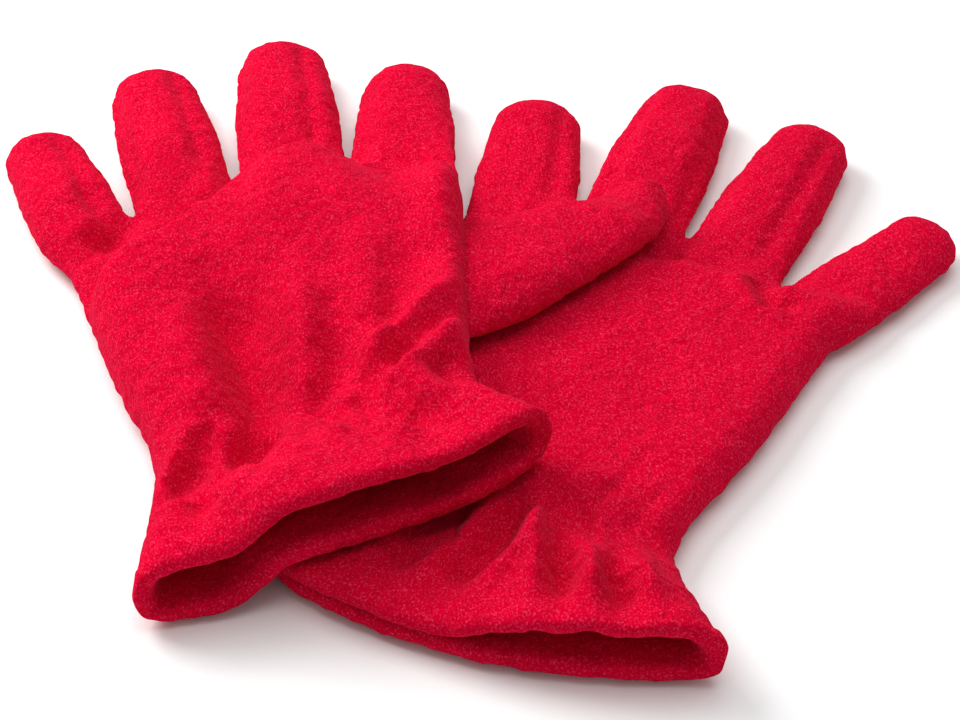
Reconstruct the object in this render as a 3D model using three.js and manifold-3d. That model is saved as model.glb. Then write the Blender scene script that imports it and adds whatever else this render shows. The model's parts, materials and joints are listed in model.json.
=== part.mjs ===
// A pair of plain fleece five-finger gloves, lying palm down: the left glove rests on the right one.
// Units are millimetres, +Z is up, and the origin is at the middle of the pair on the table.
import * as THREE from 'three';
import { mergeVertices } from 'three/addons/utils/BufferGeometryUtils.js';
import Module from 'manifold-3d';

const wasm = await Module();
wasm.setup();

// ---------------------------------------------------------------- driving dimensions

const FLEECE = 2.6; // thickness of one layer of fleece
const SEAM_GAP = 0.3; // clearance between two panels that are sewn together
const LAY_GAP = 0.9; // air between the glove on top and the glove under it

// Hand and cuff, seen from above. Half widths and thicknesses are set at named places along the glove.
const CUFF_LENGTH = 36; // wrist gather to cuff mouth
const PALM_LENGTH = 128; // wrist gather to the crotch beside the middle finger
const CUFF_BOW = 4; // how far the middle of the cuff mouth stands out past its ends
const WRIST_HALF = 36;
const HEEL_HALF = 44; // a quarter of the way up the palm
const PALM_HALF = 52;
const KNUCKLE_HALF = 57;
const HEM_WIDTH = 14;
const HEM_THICKNESS = 1.6;
const ELASTIC_WIDTH = 8;
const ELASTIC_THICKNESS = 1.2;

// Fingers. Crotches are measured from the glove's middle line, towards the thumb, and below PALM_LENGTH.
const CROTCH_INDEX_MIDDLE = { across: 27, below: 0 };
const CROTCH_MIDDLE_RING = { across: -3, below: 0 };
const CROTCH_RING_LITTLE = { across: -32, below: 13 };
const INDEX = { length: 47, width: 28.5 };
const MIDDLE = { length: 61, width: 28.5 };
const RING = { length: 60, width: 28 };
const LITTLE = { length: 46, width: 25 };
const THUMB = { length: 56, width: 42, tipWidth: 26 };
const THUMB_FOOT = 33; // wrist gather to the middle of the thumb's seam
// The way from the hand into the thumb: shares of the thumb's half width and thickness, and its reach.
const THUMB_MOUTH = { widthShare: 0.8, heightShare: 0.25, inwards: 12, outwards: 8 };
const FOURCHETTE_SHARE = 0.34; // half the angle that a side strip takes of a finger's section, in radians
const FOURCHETTE_START = 0.5; // where the side strip starts to narrow, as a share of the finger
const FOURCHETTE_END = 0.86; // where it runs out

// How each glove lies: place of the wrist gather, turn of the glove, and turn of each finger to the
// thumb side.
const LEFT = {
  name: 'left',
  thumbSide: 1,
  x: -36.5,
  y: -34,
  turn: 12.5,
  cuff: { half: 47, shift: 0, slant: 8 },
  fingers: { index: 12, middle: 7.5, ring: -2.5, little: -12 },
  thumb: { turn: 63, height: 11.5 },
  height: { cuff: 18, wrist: 14, palm: 15.5, finger: 12.5 },
  colour: 0xcf1236,
};
const RIGHT = {
  name: 'right',
  thumbSide: -1,
  x: 6.8,
  y: -53.7,
  turn: -21.5,
  cuff: { half: 51, shift: -8, slant: -5 },
  fingers: { index: 15, middle: 3.5, ring: -3.5, little: -23.5 },
  thumb: { turn: 50, height: 7.4 },
  height: { cuff: 17.5, wrist: 12, palm: 12, finger: 12.5 },
  colour: 0xc81034,
};

// The upper glove climbs from the table onto the lower one over this distance, and drops again at
// its fingers.
const CLIMB_OUTSIDE = 26;
const CLIMB_INSIDE = 6;
const DROP_START = 40; // below PALM_LENGTH
const DROP_END = 3;

// Shape of a tube's section, and how finely it is divided.
const LYING_FLAT = 0.85; // the underside of a section is flat at this share of its half height
const SECTION_FULLNESS = 0.8; // a section is a little fuller at its corners than an ellipse
const TIP_FULLNESS = 0.6;
const TIP_ANGLES = [0, 35, 65, 90]; // rows of points round a finger's tip, in degrees
const PALM_SHARES = [0.22, 0.45, 0.65, 0.82, 1, 1.15]; // rows of points up the palm, past the crotches
const HAND_COLUMNS = 10; // facets across the back, and across the palm
const FINGER_COLUMNS = 6;
const STRIP_COLUMNS = 2;

// Cutting prisms reach below and above everything, and their outlines reach past the hand.
const BELOW_ALL = -10;
const ABOVE_ALL = 80;
const PAST_HAND = KNUCKLE_HALF * 1.5;
const THUMB_ROOT = 40; // the thumb's tube starts this far inside the hand, where the cut removes it

const ELASTIC_COLOUR = 0xb8a8a8;

// ---------------------------------------------------------------- small helpers

const radians = THREE.MathUtils.degToRad;
const smooth = (value, low, high) => THREE.MathUtils.smoothstep(value, low, high);

// Straight lines between [place, value] pairs.
function along(pairs, place) {
  const last = pairs.length - 1;
  if (place <= pairs[0][0]) return pairs[0][1];
  for (let i = 0; i < last; i++) {
    const [a, b] = [pairs[i], pairs[i + 1]];
    if (place <= b[0]) return a[1] + (b[1] - a[1]) * (place - a[0]) / (b[0] - a[0]);
  }
  return pairs[last][1];
}

const PALM_HALVES = [
  [0, WRIST_HALF],
  [PALM_LENGTH * 0.25, HEEL_HALF],
  [PALM_LENGTH * 0.55, PALM_HALF],
  [PALM_LENGTH * 0.85, KNUCKLE_HALF],
  [PALM_LENGTH * 1.2, KNUCKLE_HALF],
];

// From a glove's own frame (across towards the thumb, up towards the fingers) to the table, and back.
function toTable(glove, across, up) {
  const point = new THREE.Vector2(across * glove.thumbSide, up);
  point.rotateAround(new THREE.Vector2(), radians(glove.turn));
  return point.add(new THREE.Vector2(glove.x, glove.y));
}

function toGlove(glove, point) {
  const local = new THREE.Vector2(point.x - glove.x, point.y - glove.y);
  local.rotateAround(new THREE.Vector2(), -radians(glove.turn));
  return new THREE.Vector2(local.x * glove.thumbSide, local.y);
}

// ---------------------------------------------------------------- layout of one glove's tubes

function handHeight(glove, up) {
  const { cuff, wrist, palm, finger } = glove.height;
  const places = [-CUFF_LENGTH, 0, PALM_LENGTH * 0.4, PALM_LENGTH * 0.75, PALM_LENGTH];
  return along([cuff, wrist, palm, palm, finger].map((height, i) => [places[i], height]), up);
}

function fingerLayout(glove) {
  const place = (crotch) => new THREE.Vector2(crotch.across, PALM_LENGTH - crotch.below);
  const im = place(CROTCH_INDEX_MIDDLE);
  const mr = place(CROTCH_MIDDLE_RING);
  const rl = place(CROTCH_RING_LITTLE);
  const side = (name, sign) => {
    const turn = radians(glove.fingers[name]);
    return new THREE.Vector2(Math.cos(turn), -Math.sin(turn)).multiplyScalar(sign);
  };
  const between = (a, b) => a.clone().add(b).multiplyScalar(0.5);
  const halfBetween = (a, b, name) => Math.abs(b.clone().sub(a).dot(side(name, 1))) / 2 - SEAM_GAP;
  return [
    {
      name: 'index', ...INDEX, turn: glove.fingers.index, strips: ['little'],
      foot: im.clone().addScaledVector(side('index', 1), INDEX.width / 2 + SEAM_GAP),
      half: INDEX.width / 2,
    },
    {
      name: 'middle', ...MIDDLE, turn: glove.fingers.middle, strips: ['thumb', 'little'],
      foot: between(im, mr), half: Math.min(MIDDLE.width / 2, halfBetween(im, mr, 'middle')),
    },
    {
      name: 'ring', ...RING, turn: glove.fingers.ring, strips: ['thumb', 'little'],
      foot: between(mr, rl), half: Math.min(RING.width / 2, halfBetween(mr, rl, 'ring')),
    },
    {
      name: 'little', ...LITTLE, turn: glove.fingers.little, strips: ['thumb'],
      foot: rl.clone().addScaledVector(side('little', -1), LITTLE.width / 2 + SEAM_GAP),
      half: LITTLE.width / 2,
    },
  ];
}

// The thumb leaves the hand at its thumb-side edge.
function thumbLayout(glove) {
  const edge = along(PALM_HALVES, THUMB_FOOT);
  return {
    name: 'thumb', turn: glove.thumb.turn, length: THUMB.length, half: THUMB.width / 2,
    foot: new THREE.Vector2(edge, THUMB_FOOT),
  };
}

// Height of what a glove lies on at a point of the table: the table itself, or the glove below it.
function bedUnder(glove, point) {
  if (glove === RIGHT) return 0;
  const own = toGlove(glove, point);
  const below = toGlove(RIGHT, point);
  const inside = along(PALM_HALVES, below.y) - below.x;
  const top = (height) => height * (1 + LYING_FLAT) / 2 + LAY_GAP;
  const onHand = smooth(inside, -CLIMB_OUTSIDE, CLIMB_INSIDE) * top(handHeight(RIGHT, below.y));
  const thumb = thumbLayout(RIGHT);
  const reach = new THREE.Vector2(Math.sin(radians(thumb.turn)), Math.cos(radians(thumb.turn)));
  const offset = below.clone().sub(thumb.foot);
  const t = THREE.MathUtils.clamp(offset.dot(reach), 0, thumb.length - thumb.half);
  const aside = offset.sub(reach.multiplyScalar(t)).length() - thumb.half;
  const onThumb = (1 - smooth(aside, 0, CLIMB_OUTSIDE)) * top(RIGHT.thumb.height);
  const drop = 1 - smooth(own.y, PALM_LENGTH - DROP_START, PALM_LENGTH - DROP_END);
  return Math.max(onHand, onThumb) * drop;
}

// ---------------------------------------------------------------- solids

// A closed solid from a grid of outer points and a matching grid of inner points.
// Rows run along the tube, columns round its section; a last row of one point closes a tip.
function shellSolid(outer, inner, ring) {
  const positions = [];
  const index = [];
  const put = (grid) => grid.map((row) => row.map((p) => positions.push(p.x, p.y, p.z) / 3 - 1));
  const a = put(outer);
  const b = put(inner);
  const face = (...corners) => {
    for (let i = 2; i < corners.length; i++) {
      const tri = [corners[0], corners[i - 1], corners[i]];
      if (new Set(tri).size === 3) index.push(...tri);
    }
  };
  const columns = outer[0].length;
  const at = (grid, row, column) => {
    const wrapped = ring ? column % columns : column;
    return grid[row][Math.min(wrapped, grid[row].length - 1)];
  };
  const steps = ring ? columns : columns - 1;
  const rows = outer.length - 1;
  for (let r = 0; r < rows; r++) {
    for (let c = 0; c < steps; c++) {
      face(at(a, r, c), at(a, r, c + 1), at(a, r + 1, c + 1), at(a, r + 1, c));
      face(at(b, r, c), at(b, r + 1, c), at(b, r + 1, c + 1), at(b, r, c + 1));
    }
    if (!ring) {
      face(at(a, r, 0), at(a, r + 1, 0), at(b, r + 1, 0), at(b, r, 0));
      face(at(a, r, steps), at(b, r, steps), at(b, r + 1, steps), at(a, r + 1, steps));
    }
  }
  for (let c = 0; c < steps; c++) {
    face(at(a, 0, c + 1), at(a, 0, c), at(b, 0, c), at(b, 0, c + 1));
    if (outer[rows].length > 1) {
      face(at(a, rows, c), at(a, rows, c + 1), at(b, rows, c + 1), at(b, rows, c));
    }
  }
  const geometry = new THREE.BufferGeometry();
  geometry.setAttribute('position', new THREE.Float32BufferAttribute(positions, 3));
  geometry.setIndex(index);
  return geometry;
}

function isInsideOut(geometry) {
  const position = geometry.getAttribute('position');
  const index = geometry.getIndex();
  const corner = (i) => new THREE.Vector3().fromBufferAttribute(position, index.getX(i));
  let volume = 0;
  for (let i = 0; i < index.count; i += 3) volume += corner(i).dot(corner(i + 1).cross(corner(i + 2)));
  return volume < 0;
}

function faceOut(geometry) {
  if (isInsideOut(geometry)) {
    const index = geometry.getIndex();
    for (let i = 0; i < index.count; i += 3) {
      const first = index.getX(i);
      index.setX(i, index.getX(i + 1));
      index.setX(i + 1, first);
    }
  }
  return geometry;
}

function toManifold(geometry) {
  const plain = geometry.clone();
  plain.deleteAttribute('normal');
  plain.deleteAttribute('uv');
  const merged = mergeVertices(plain, 1e-4);
  return new wasm.Manifold(new wasm.Mesh({
    numProp: 3,
    vertProperties: new Float32Array(merged.getAttribute('position').array),
    triVerts: new Uint32Array(merged.getIndex().array),
  }));
}

function toGeometry(solid) {
  const mesh = solid.getMesh();
  const geometry = new THREE.BufferGeometry();
  geometry.setAttribute('position', new THREE.BufferAttribute(new Float32Array(mesh.vertProperties), 3));
  geometry.setIndex(new THREE.BufferAttribute(new Uint32Array(mesh.triVerts), 1));
  return geometry;
}

// A tall prism over an outline on the table.
function prism(outline, low, high) {
  const shape = new THREE.Shape(outline);
  const geometry = new THREE.ExtrudeGeometry(shape, { depth: high - low, bevelEnabled: false });
  geometry.translate(0, 0, low);
  return toManifold(geometry);
}

const fuller = (value) => Math.sign(value) * Math.abs(value) ** SECTION_FULLNESS;

// One wall of a flattened tube. The stations give the section's middle and its direction across,
// its half width and its thickness; from and to are angles round the section, 0 at the thumb side.
function tubeWall(glove, stations, from, to, columns, depth, thickness, lift) {
  const ring = to - from === 2 * Math.PI;
  const grids = [depth, depth + thickness].map((inset) => stations.map((station) => {
    const half = (station.half - inset) * station.narrow;
    const rise = (station.height / 2 - inset) * Math.pow(station.narrow, TIP_FULLNESS);
    const middle = station.middle.clone().addScaledVector(station.forward, -inset * station.close);
    const point = (angle) => {
      const aside = station.tip ? 0 : half * fuller(Math.cos(angle));
      const spot = middle.clone().addScaledVector(station.side, aside);
      spot.addScaledVector(station.forward, -station.bow * Math.sin(angle) ** 2);
      const table = toTable(glove, spot.x, spot.y);
      const base = station.height / 2 * LYING_FLAT;
      const up = station.tip ? 0 : Math.max(rise * fuller(Math.sin(angle)), inset - base);
      return new THREE.Vector3(table.x, table.y, bedUnder(glove, table) + base + up + lift);
    };
    if (station.tip) return [point(0)];
    const [start, end] = [from, to].map((limit) => (typeof limit === 'function' ? limit(station) : limit));
    const count = ring ? columns : columns + 1;
    return Array.from({ length: count }, (_, i) => point(start + (end - start) * i / columns));
  }));
  return faceOut(shellSolid(grids[0], grids[1], ring));
}

// Stations of a finger or thumb: straight walls, then a round tip.
function stallStations(layout, height, tipHalf) {
  const turn = radians(layout.turn);
  const forward = new THREE.Vector2(Math.sin(turn), Math.cos(turn));
  const side = new THREE.Vector2(Math.cos(turn), -Math.sin(turn));
  const straight = layout.length - tipHalf;
  const station = (place, half, angle) => ({
    middle: layout.foot.clone().addScaledVector(forward, place),
    forward, side, half, height, bow: 0, share: place / layout.length, tip: angle === 90,
    close: Math.sin(radians(angle)), narrow: Math.cos(radians(angle)),
  });
  return [
    station(0, layout.half, 0),
    station(straight * 0.5, (layout.half + tipHalf) / 2, 0),
    ...TIP_ANGLES.map((angle) => station(straight + tipHalf * Math.sin(radians(angle)), tipHalf, angle)),
  ];
}

function handStations(glove) {
  const cuff = [-CUFF_LENGTH, HEM_WIDTH - CUFF_LENGTH, -ELASTIC_WIDTH, 0];
  const palm = PALM_SHARES.map((share) => share * PALM_LENGTH);
  return [...cuff, ...palm].map((up) => {
    const height = handHeight(glove, up);
    const flare = Math.max(-up / CUFF_LENGTH, 0);
    const slant = radians(glove.cuff.slant) * flare;
    return {
      middle: new THREE.Vector2(glove.cuff.shift * flare, up), bow: CUFF_BOW * flare,
      forward: new THREE.Vector2(-Math.sin(slant), Math.cos(slant)),
      side: new THREE.Vector2(Math.cos(slant), Math.sin(slant)),
      half: along([[-CUFF_LENGTH, glove.cuff.half], ...PALM_HALVES], up),
      height, close: 0, narrow: 1, tip: false, share: 0,
    };
  });
}

// ---------------------------------------------------------------- pieces of one glove

const BACK = [0, Math.PI];
const PALM = [Math.PI, 2 * Math.PI];
const LIFT = SEAM_GAP / 2;

// The outline that the hand keeps: everything up to the foot of each finger.
function handOutline(glove, fingers) {
  const corners = [];
  for (const finger of fingers) {
    const turn = radians(finger.turn);
    const foot = finger.foot.clone();
    foot.addScaledVector(new THREE.Vector2(Math.sin(turn), Math.cos(turn)), -SEAM_GAP);
    const side = new THREE.Vector2(Math.cos(turn), -Math.sin(turn));
    const outer = finger.name === 'index' ? PAST_HAND : finger.half;
    const inner = finger.name === 'little' ? PAST_HAND : finger.half;
    corners.push(foot.clone().addScaledVector(side, outer), foot.clone().addScaledVector(side, -inner));
  }
  corners.push(new THREE.Vector2(-PAST_HAND, -PAST_HAND), new THREE.Vector2(PAST_HAND, -PAST_HAND));
  return corners.map((corner) => toTable(glove, corner.x, corner.y));
}

function addPart(group, glove, name, geometry, colour = glove.colour) {
  const flat = geometry.index ? geometry.toNonIndexed() : geometry;
  flat.computeVertexNormals();
  const material = new THREE.MeshStandardMaterial({ color: colour, roughness: 0.95, metalness: 0 });
  const mesh = new THREE.Mesh(flat, material);
  mesh.name = `${glove.name}_${name}`;
  group.add(mesh);
}

function addHand(group, glove, fingers, thumb) {
  const stations = handStations(glove);
  const keep = prism(handOutline(glove, fingers), BELOW_ALL, ABOVE_ALL);
  const mouth = thumbMouth(glove, thumb);
  const panel = (range, lift) => {
    return toManifold(tubeWall(glove, stations, ...range, HAND_COLUMNS, 0, FLEECE, lift));
  };
  const back = panel(BACK, LIFT).intersect(keep).subtract(mouth);
  const palm = panel(PALM, -LIFT).intersect(keep).subtract(mouth);
  addPart(group, glove, 'hand_back', toGeometry(back));
  addPart(group, glove, 'hand_palm', toGeometry(palm));
}

// The way from the hand into the thumb, cut through the hand's edge.
function thumbMouth(glove, thumb) {
  const { widthShare, heightShare, inwards, outwards } = THUMB_MOUTH;
  const half = thumb.half * widthShare;
  const rise = glove.thumb.height * heightShare;
  const middle = toTable(glove, thumb.foot.x, thumb.foot.y);
  const level = bedUnder(glove, middle) + glove.thumb.height / 2;
  const corners = [[-inwards, -half], [outwards, -half], [outwards, half], [-inwards, half]];
  const outline = corners.map(([across, up]) => toTable(glove, thumb.foot.x + across, thumb.foot.y + up));
  return prism(outline, level - rise, level + rise);
}

// The cuff's edge turned inside, and the elastic sewn inside the back at the wrist.
function addCuff(group, glove) {
  const [mouth, hemEdge, bandEdge, wrist] = handStations(glove);
  const depth = FLEECE + SEAM_GAP;
  const hem = tubeWall(glove, [mouth, hemEdge], 0, 2 * Math.PI, 2 * HAND_COLUMNS, depth, HEM_THICKNESS, 0);
  addPart(group, glove, 'cuff_hem', hem);
  const margin = Math.PI * 2 / HAND_COLUMNS;
  const strip = [margin, Math.PI - margin];
  const band = [bandEdge, wrist];
  const elastic = tubeWall(glove, band, ...strip, FINGER_COLUMNS, depth, ELASTIC_THICKNESS, LIFT);
  addPart(group, glove, 'wrist_elastic', elastic, ELASTIC_COLOUR);
}

// Half the angle of the side strip at a station: full at the foot, nothing at the tip.
function stripAngle(station) {
  return FOURCHETTE_SHARE * (1 - smooth(station.share, FOURCHETTE_START, FOURCHETTE_END));
}

function addFinger(group, glove, finger) {
  const height = glove.height.finger;
  const stations = stallStations(finger, height, finger.half);
  const thumbStrip = finger.strips.includes('thumb') ? 1 : 0;
  const littleStrip = finger.strips.includes('little') ? 1 : 0;
  const back = [
    (station) => stripAngle(station) * thumbStrip,
    (station) => Math.PI - stripAngle(station) * littleStrip,
  ];
  const palm = [
    (station) => Math.PI + stripAngle(station) * littleStrip,
    (station) => 2 * Math.PI - stripAngle(station) * thumbStrip,
  ];
  const wall = (range, lift) => tubeWall(glove, stations, ...range, FINGER_COLUMNS, 0, FLEECE, lift);
  addPart(group, glove, `${finger.name}_back`, wall(back, LIFT));
  addPart(group, glove, `${finger.name}_palm`, wall(palm, -LIFT));
  const gapAngle = SEAM_GAP / (height / 2);
  const run = stations.filter((station) => stripAngle(station) > 2 * gapAngle);
  const strip = (middle) => {
    const edge = (sign) => (station) => middle + sign * (stripAngle(station) - gapAngle);
    return tubeWall(glove, run, edge(-1), edge(1), STRIP_COLUMNS, 0, FLEECE, 0);
  };
  if (thumbStrip) addPart(group, glove, `${finger.name}_fourchette_thumb_side`, strip(0));
  if (littleStrip) addPart(group, glove, `${finger.name}_fourchette_little_side`, strip(Math.PI));
}

function addThumb(group, glove, thumb) {
  const height = glove.thumb.height;
  const turn = radians(thumb.turn);
  const forward = new THREE.Vector2(Math.sin(turn), Math.cos(turn));
  const start = { ...thumb, length: thumb.length + THUMB_ROOT };
  start.foot = thumb.foot.clone().addScaledVector(forward, -THUMB_ROOT);
  const stations = stallStations(start, height, THUMB.tipWidth / 2);
  const corners = PALM_HALVES.map(([up, half]) => [half + SEAM_GAP, up]);
  corners.push([-THUMB_ROOT, PALM_LENGTH], [-THUMB_ROOT, -THUMB_ROOT]);
  corners.push([WRIST_HALF + SEAM_GAP, -THUMB_ROOT]);
  const outline = corners.map(([across, up]) => toTable(glove, across, up));
  const inside = prism(outline, BELOW_ALL, ABOVE_ALL);
  const wall = (range, lift) => {
    const tube = tubeWall(glove, stations, ...range, FINGER_COLUMNS, 0, FLEECE, lift);
    return toManifold(tube).subtract(inside);
  };
  addPart(group, glove, 'thumb_back', toGeometry(wall(BACK, LIFT)));
  addPart(group, glove, 'thumb_palm', toGeometry(wall(PALM, -LIFT)));
}

function makeGlove(glove) {
  const group = new THREE.Group();
  const fingers = fingerLayout(glove);
  const thumb = thumbLayout(glove);
  addHand(group, glove, fingers, thumb);
  addCuff(group, glove);
  for (const finger of fingers) addFinger(group, glove, finger);
  addThumb(group, glove, thumb);
  return group;
}

// ---------------------------------------------------------------- the pair

const pair = new THREE.Group();
pair.add(makeGlove(RIGHT), makeGlove(LEFT));
const box = new THREE.Box3().setFromObject(pair, true);
const middle = box.getCenter(new THREE.Vector3());
pair.position.set(-middle.x, -middle.y, -box.min.z);

export default pair;
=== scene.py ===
"""A pair of red fleece gloves, the left one lying on the right one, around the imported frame."""
import json
import math
import bpy
import numpy as np
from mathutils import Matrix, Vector
from mathutils.geometry import delaunay_2d_cdt

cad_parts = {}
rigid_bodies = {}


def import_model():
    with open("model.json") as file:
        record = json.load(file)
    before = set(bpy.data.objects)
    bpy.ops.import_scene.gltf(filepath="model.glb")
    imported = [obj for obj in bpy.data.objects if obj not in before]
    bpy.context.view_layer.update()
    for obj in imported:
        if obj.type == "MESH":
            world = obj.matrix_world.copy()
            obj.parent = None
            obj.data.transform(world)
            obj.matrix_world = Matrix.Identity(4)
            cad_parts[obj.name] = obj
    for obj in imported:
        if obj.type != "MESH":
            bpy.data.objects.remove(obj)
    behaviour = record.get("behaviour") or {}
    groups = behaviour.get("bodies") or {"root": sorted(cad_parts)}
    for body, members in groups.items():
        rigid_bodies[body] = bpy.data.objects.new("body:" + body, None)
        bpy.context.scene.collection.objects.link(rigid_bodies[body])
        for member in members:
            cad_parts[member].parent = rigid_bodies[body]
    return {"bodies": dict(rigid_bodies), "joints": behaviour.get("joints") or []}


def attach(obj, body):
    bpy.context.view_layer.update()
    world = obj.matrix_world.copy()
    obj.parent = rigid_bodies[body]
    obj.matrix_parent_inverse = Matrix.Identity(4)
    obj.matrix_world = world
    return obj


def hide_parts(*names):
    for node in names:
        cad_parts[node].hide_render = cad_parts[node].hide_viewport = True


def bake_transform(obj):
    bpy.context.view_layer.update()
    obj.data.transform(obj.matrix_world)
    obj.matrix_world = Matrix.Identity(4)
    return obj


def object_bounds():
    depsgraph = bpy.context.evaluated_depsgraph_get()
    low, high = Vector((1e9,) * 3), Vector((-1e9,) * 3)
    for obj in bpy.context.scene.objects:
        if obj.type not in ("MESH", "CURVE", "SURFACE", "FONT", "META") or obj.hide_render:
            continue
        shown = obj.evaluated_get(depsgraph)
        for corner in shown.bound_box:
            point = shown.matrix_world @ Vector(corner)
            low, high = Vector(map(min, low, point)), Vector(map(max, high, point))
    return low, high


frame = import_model()
cad_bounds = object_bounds()
MM = 0.001

# ------ sizes, in millimetres, degrees
# A glove's own frame: u runs across it towards the thumb, v along it from the wrist gather to the
# fingers. Pairs in lists are (place, value), and pairs in routes and outlines are points.

CUFF_LENGTH = 36.0
HEM_WIDTH = 14.0
FLEECE = 2.6
LIP = 2.4  # radius of the rolled hem's edge
MOUTH = LIP - CUFF_LENGTH  # where the hem starts to roll over
CUFF_FLARE = 0.9  # exponent of the cuff's widening
MOST_FLARE = 1.15  # the skew ends this far out, in cuff lengths
WRIST_BULGE, WRIST_BULGE_WIDTH = 1.6, 10.0  # rounds the outline's corner at the wrist gather
# Half widths at places along the hand, on the thumb's side and on the little finger's side.
THUMB_HALVES = [
    (0, 36.0), (14, 38.4), (32, 42.4), (52, 46.4), (70, 49.4), (90, 52.6), (112, 56.4), (150, 57.0),
]
LITTLE_HALVES = [
    (0, 36.0), (14, 38.2), (30, 42.2), (48, 45.6), (68, 48.2), (84, 50.6), (98, 54.0), (112, 56.6),
]
WRIST_HALF = THUMB_HALVES[0][1]
SIDE_TOP = 96.0  # where the hand's thumb side runs into the index finger
LITTLE_SIDE_TOP = 90.0  # and the other side into the little finger
CROTCHES = {"index": (28, 125), "middle": (-3.5, 120), "ring": (-32.5, 108)}
INDEX_START, LITTLE_END = -8.0, -4.0  # where their outer sides start, from the foot of each
FINGER_GAP = 0.1  # between two fingers at their feet
FOOT_PINCH = 0.04  # how much narrower a finger is at its foot
PINCH_FROM, PINCH_TO = -5.0, 22.0
TIP_TAPER = 0.1  # how much narrower a finger is where its round tip begins
TAPER_LENGTH = 26.0
TIP_REACH = 0.95  # length of the round tip, in half widths
TIP_SQUARENESS = 0.95
CROTCH_GAP = 3.0  # where two fingers' sides start, beyond their crotch
STRIP_START = 0.6  # where a finger's side strips start, beyond the further of its crotches
FINGERS = {
    "index": dict(length=48.0, half=15.0),
    "middle": dict(length=68.5, half=16.4),
    "ring": dict(length=68.5, half=14.9),
    "little": dict(length=49.0, half=13.2),
}
THUMB_FOOT = (44.0, 38.5)  # where the middle of the thumb leaves the hand
# The thumb's outline along it and across it, from inside the hand round its slanting end and back.
THUMB_OUTLINE = [
    (-13, 13), (8, 14.5), (31, 13.2), (48, 11.5), (60, 6.5), (69, -0.5), (72.5, -6.5), (69, -10.5),
    (57, -13), (38, -16.5), (17, -22), (0, -25.5), (-13, -25),
]
THUMB_ROUNDING, THUMB_UNDER_ROUNDING = 12.0, 5.0  # radii of its sides, above and below the seam
THUMB_SEAM_SHARE = 0.4  # height of the thumb's side seam, as a share of its thickness
ROOT_LIFT, ROOT_END = 1.4, 4.0  # its root is lifted off the palm, up to this place along it

SEAM_LEVEL = 4.8  # height of the hand's side seams
CUFF_SEAM_SHARE = 0.45  # at the mouth, the seams' height as a share of the thickness
SIDE_ROUNDING = [(-36, 11.0), (0, 9.0), (90, 10.0), (125, 12.5)]  # radius of the sides along the glove
UNDER_ROUNDING = 6.0
UNDERSIDE = 0.35  # height of the flat underside
THUMB_UNDERSIDE = 0.4
FINGER_ROOT, FINGER_TOP = 8.0, 13.6  # thickness of a finger at its foot and further out
FINGER_SWELL = 60.0  # how far past the knuckles a finger reaches its full thickness
RIDGE_DROP = 6.0  # length over which the back of the hand comes down to the fingers
RIDGE_CREST = 2.0  # how far before the ridge the drop begins
NO_RIDGE = 100.0  # where a hand without a knuckle ridge runs into its fingers

GLOVES = {
    "left": dict(
        side=1, x=-36.5, y=-34.0, turn=12.5, seed=11,
        cuff=dict(half=48.5, shift=1.5, slant=12.5, bow=7.0, ends=4.5),
        fingers=dict(index=12.0, middle=5.5, ring=-2.5, little=-11.5),
        thumb=dict(turn=60.0, height=11.0), gather=dict(slope=0.2, offset=-3.0),
        thickness=[
            (-36, 20.0), (-20, 18.5), (-3, 14.0), (18, 16.5), (50, 19.0), (76, 23.5), (100, 24.5),
            (130, 24.5),
        ],
        pressed=0.0,
        # The line where the back of the hand drops to the fingers.
        ridge=[
            (-62, 48), (-50, 60), (-38, 73), (-26, 80), (-5, 96), (21, 99), (33, 91), (48, 85), (62, 74),
        ],
    ),
    "right": dict(
        side=-1, x=6.8, y=-53.7, turn=-21.5, seed=23,
        cuff=dict(half=51.0, shift=-8.0, slant=-4.0, bow=11.0, ends=5.0),
        fingers=dict(index=15.0, middle=3.5, ring=-3.5, little=-23.5),
        thumb=dict(turn=50.0, height=7.4), gather=dict(slope=0.0, offset=-3.0),
        thickness=[
            (-36, 18.5), (-20, 16.0), (-3, 11.6), (18, 11.8), (50, 12.0), (80, 12.0), (130, 11.5),
        ],
        pressed=0.5,  # share that the glove on top takes off the cuff's thickness
        ridge=None,
    ),
}

PRESSED_ACROSS, PRESSED_ALONG = (-22, 16), (-6, 24)  # where the pressing fades

# Seams between a finger's back and its side strips, as shares of its half width towards the thumb.
STRIP_SEAMS = {
    "left_index": dict(little=-0.72),
    "left_middle": dict(thumb=0.42, little=-0.84),
    "left_ring": dict(thumb=0.46, little=-0.84),
    "left_little": dict(thumb=0.3),
    "right_index": dict(little=-0.5),
    "right_middle": dict(thumb=0.66, little=-0.8),
    "right_ring": dict(thumb=0.84, little=-0.46),
    "right_little": dict(thumb=0.8),
}

MESH_STEP = 3.5  # point spacing of the first mesh, which is subdivided twice
SUBDIVISIONS = 2
SIDE_ROWS = (0.35, 1.1, 2.3)  # extra rows of points inside the outline, where the sides turn over
TABLE_CLEARANCE = 0.1


# ------ small helpers

def smoothstep(x, low, high):
    t = np.clip((np.asarray(x, float) - low) / (high - low), 0, 1)
    return t * t * (3 - 2 * t)


def bell(x, width):
    return np.exp(-(np.asarray(x, float) / width) ** 2)


def curve(pairs, x):
    """A smooth line through (place, value) pairs."""
    px, py = np.array(pairs, float).T
    slopes = np.gradient(py, px)
    x = np.clip(np.asarray(x, float), px[0], px[-1])
    i = np.clip(np.searchsorted(px, x) - 1, 0, len(px) - 2)
    h = px[i + 1] - px[i]
    t = (x - px[i]) / h
    rise = t * t * (3 - 2 * t)
    return py[i] + (py[i + 1] - py[i]) * rise + h * (
        (t**3 - 2 * t**2 + t) * slopes[i] + (t**3 - t**2) * slopes[i + 1]
    )


def directions(angle):
    """Forward and sideways directions of something turned towards the thumb side by an angle."""
    a = math.radians(angle)
    return np.array([math.sin(a), math.cos(a)]), np.array([math.cos(a), -math.sin(a)])


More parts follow.
